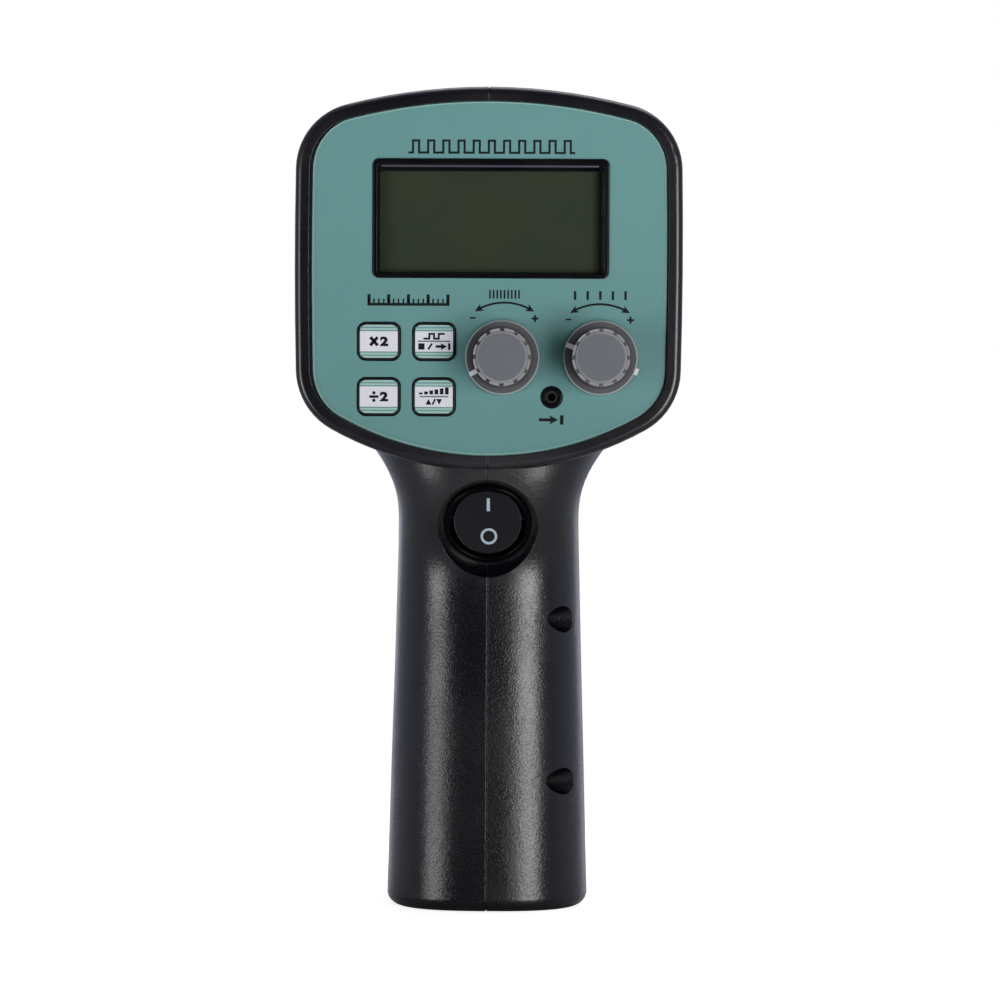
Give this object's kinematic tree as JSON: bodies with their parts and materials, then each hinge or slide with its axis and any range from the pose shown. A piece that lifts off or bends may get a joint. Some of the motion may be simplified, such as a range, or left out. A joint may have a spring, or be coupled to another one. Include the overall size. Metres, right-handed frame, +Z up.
{
  "type": "xenon stroboscope",
  "caption": "Pistol-grip xenon stroboscope: display, keys and speed knobs behind, round flash lamp in front, rocker switch in the neck.",
  "frame": {"origin": "middle of the bounding box, on the surface that the grip stands on", "axes": "+Z up along the grip, +X to the right of the user who reads the panel, +Y the way the lamp shines"},
  "size_m": [0.0984, 0.12, 0.21],
  "materials": {
    "case_plastic": "fine-textured black ABS",
    "panel_plastic": "teal moulded panel",
    "overlay_film": "teal printed polycarbonate film, satin",
    "bezel_plastic": "black, semi-gloss",
    "clear_plastic": "clear acrylic",
    "display_glass": "liquid-crystal glass, olive",
    "white_plastic": "white moulded plastic",
    "contact_rubber": "elastic contact strip",
    "board": "green circuit board",
    "chip": "black moulded chips and capacitors",
    "key_plastic": "pale lilac and teal key",
    "knob_plastic": "grey satin knob",
    "pointer_paint": "white",
    "steel": "plated steel",
    "brass": "tinned brass",
    "rocker_plastic": "black nylon, semi-gloss",
    "reflector_metal": "spun, polished",
    "quartz": "clear quartz tube",
    "ceramic": "white ceramic",
    "gasket_rubber": "black rubber",
    "foil": "sleeved capacitor",
    "lamination": "varnished steel laminations",
    "winding_tape": "taped copper winding",
    "lead_brown": "insulated wire",
    "ribbon": "flat ribbon cable"
  },
  "bodies": {
    "case": {"housing_left": "case_plastic", "housing_right": "case_plastic", "housing_screws": "steel", "control_panel": "panel_plastic", "panel_overlay": "overlay_film", "display_bezel": "bezel_plastic", "display_window": "clear_plastic", "lcd_panel": "display_glass", "lcd_holder": "white_plastic", "contact_strips": "contact_rubber", "control_board": "board", "control_chips": "chip", "board_screws": "steel", "key_switches": "chip", "fine_potentiometer": "steel", "coarse_potentiometer": "steel", "pot_terminals": "brass", "pot_nuts": "steel", "pot_washers": "steel", "trigger_jack": "bezel_plastic", "switch_body": "rocker_plastic", "switch_terminals": "brass", "reflector": "reflector_metal", "flash_tube": "quartz", "tube_electrodes": "steel", "tube_base": "ceramic", "trigger_wire": "steel", "lens_window": "clear_plastic", "lens_gasket": "gasket_rubber", "front_bezel": "case_plastic", "bezel_screws": "steel", "power_board": "board", "flash_capacitors": "foil", "trigger_transformer": "chip", "fuse": "quartz", "fuse_clips": "brass", "transformer_core": "lamination", "transformer_winding": "winding_tape", "mains_inlet": "bezel_plastic", "inlet_pins": "brass", "mains_leads": "lead_brown", "transformer_leads": "lead_brown", "ribbon_cable": "ribbon"},
    "fine_knob_set": {"fine_knob": "knob_plastic", "fine_pointer": "pointer_paint", "fine_pot_shaft": "steel"},
    "coarse_knob_set": {"coarse_knob": "knob_plastic", "coarse_pointer": "pointer_paint", "coarse_pot_shaft": "steel"},
    "rocker": {"switch_rocker": "rocker_plastic"},
    "times_two_button": {"key_times_two": "key_plastic"},
    "trigger_button": {"key_trigger": "key_plastic"},
    "divide_two_button": {"key_divide_two": "key_plastic"},
    "range_button": {"key_range": "key_plastic"}
  },
  "joints": [
    {"name": "fine_turn", "type": "hinge", "parent": "case", "child": "fine_knob_set", "pos_m": [0.00356, -0.05, 0.1415], "axis": [0, 1, 0], "range_deg": [-32, 268]},
    {"name": "coarse_turn", "type": "hinge", "parent": "case", "child": "coarse_knob_set", "pos_m": [0.0284, -0.05, 0.1415], "axis": [0, 1, 0], "range_deg": [-81, 219]},
    {"name": "rocker_tilt", "type": "hinge", "parent": "case", "child": "rocker", "pos_m": [0, -0.03488, 0.10083], "axis": [1, 0, 0], "range_deg": [0, 24]},
    {"name": "times_two_press", "type": "slide", "parent": "case", "child": "times_two_button", "axis": [0, 1, 0], "range_m": [0, 0.0005], "stiffness_N_per_m": 400, "springref_m": -0.0005},
    {"name": "trigger_press", "type": "slide", "parent": "case", "child": "trigger_button", "axis": [0, 1, 0], "range_m": [0, 0.0005], "stiffness_N_per_m": 400, "springref_m": -0.0005},
    {"name": "divide_two_press", "type": "slide", "parent": "case", "child": "divide_two_button", "axis": [0, 1, 0], "range_m": [0, 0.0005], "stiffness_N_per_m": 400, "springref_m": -0.0005},
    {"name": "range_press", "type": "slide", "parent": "case", "child": "range_button", "axis": [0, 1, 0], "range_m": [0, 0.0005], "stiffness_N_per_m": 400, "springref_m": -0.0005}
  ]
}
